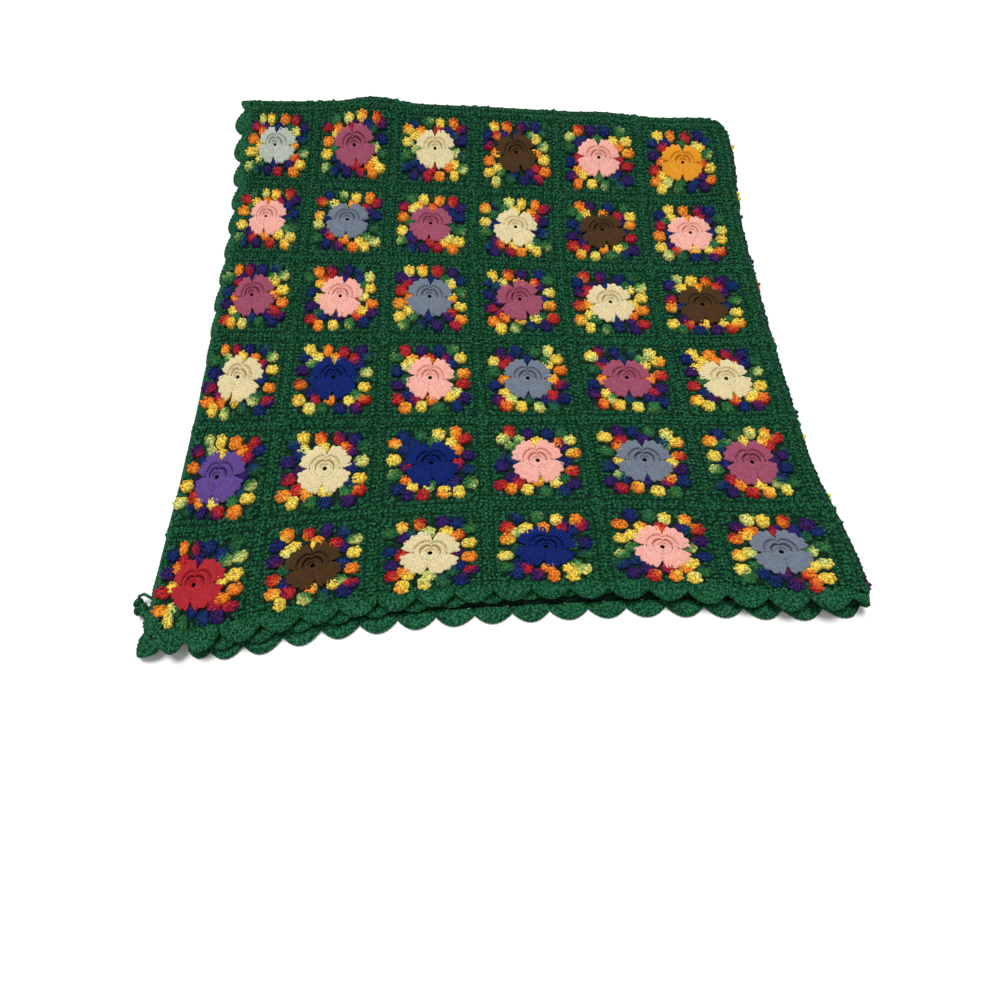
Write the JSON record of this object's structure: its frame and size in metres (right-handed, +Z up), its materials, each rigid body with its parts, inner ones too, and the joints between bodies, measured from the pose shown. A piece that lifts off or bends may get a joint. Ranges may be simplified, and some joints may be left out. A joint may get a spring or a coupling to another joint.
{
  "type": "folded crocheted granny square blanket",
  "caption": "Crocheted blanket of joined squares, each with a raised rose, with a scalloped border, folded in four and lying flat.",
  "frame": {"origin": "the middle of the folded blanket's outline, on the surface that it lies on", "axes": "+Z is up, square to the lying blanket; +Y points from the free front edges to the fold at the back; +X points from the free left edges to the fold at the right"},
  "size_m": [0.7802, 0.804, 0.0517],
  "materials": {
    "green_yarn": "soft matt acrylic yarn, worked in tight stitches",
    "cream_yarn": "soft matt acrylic yarn, worked in tight stitches",
    "pink_yarn": "soft matt acrylic yarn, worked in tight stitches",
    "mauve_yarn": "soft matt acrylic yarn, worked in tight stitches",
    "blue_grey_yarn": "soft matt acrylic yarn, worked in tight stitches",
    "light_grey_yarn": "soft matt acrylic yarn, worked in tight stitches",
    "royal_blue_yarn": "soft matt acrylic yarn, worked in tight stitches",
    "purple_yarn": "soft matt acrylic yarn, worked in tight stitches",
    "red_yarn": "soft matt acrylic yarn, worked in tight stitches",
    "brown_yarn": "soft matt acrylic yarn, worked in tight stitches",
    "orange_yarn": "soft matt acrylic yarn, worked in tight stitches"
  },
  "bodies": {
    "root": {"blanket": "green_yarn", "edging": "green_yarn", "rose_r1_c1": "light_grey_yarn", "rose_r1_c2": "mauve_yarn", "rose_r1_c3": "cream_yarn", "rose_r1_c4": "brown_yarn", "rose_r1_c5": "pink_yarn", "rose_r1_c6": "orange_yarn", "rose_r2_c1": "pink_yarn", "rose_r2_c2": "blue_grey_yarn", "rose_r2_c3": "mauve_yarn", "rose_r2_c4": "cream_yarn", "rose_r2_c5": "brown_yarn", "rose_r2_c6": "pink_yarn", "rose_r3_c1": "mauve_yarn", "rose_r3_c2": "pink_yarn", "rose_r3_c3": "blue_grey_yarn", "rose_r3_c4": "mauve_yarn", "rose_r3_c5": "cream_yarn", "rose_r3_c6": "brown_yarn", "rose_r4_c1": "cream_yarn", "rose_r4_c2": "royal_blue_yarn", "rose_r4_c3": "pink_yarn", "rose_r4_c4": "blue_grey_yarn", "rose_r4_c5": "mauve_yarn", "rose_r4_c6": "cream_yarn", "rose_r5_c1": "purple_yarn", "rose_r5_c2": "cream_yarn", "rose_r5_c3": "royal_blue_yarn", "rose_r5_c4": "pink_yarn", "rose_r5_c5": "blue_grey_yarn", "rose_r5_c6": "mauve_yarn", "rose_r6_c1": "red_yarn", "rose_r6_c2": "brown_yarn", "rose_r6_c3": "cream_yarn", "rose_r6_c4": "royal_blue_yarn", "rose_r6_c5": "pink_yarn", "rose_r6_c6": "blue_grey_yarn"}
  },
  "joints": []
}
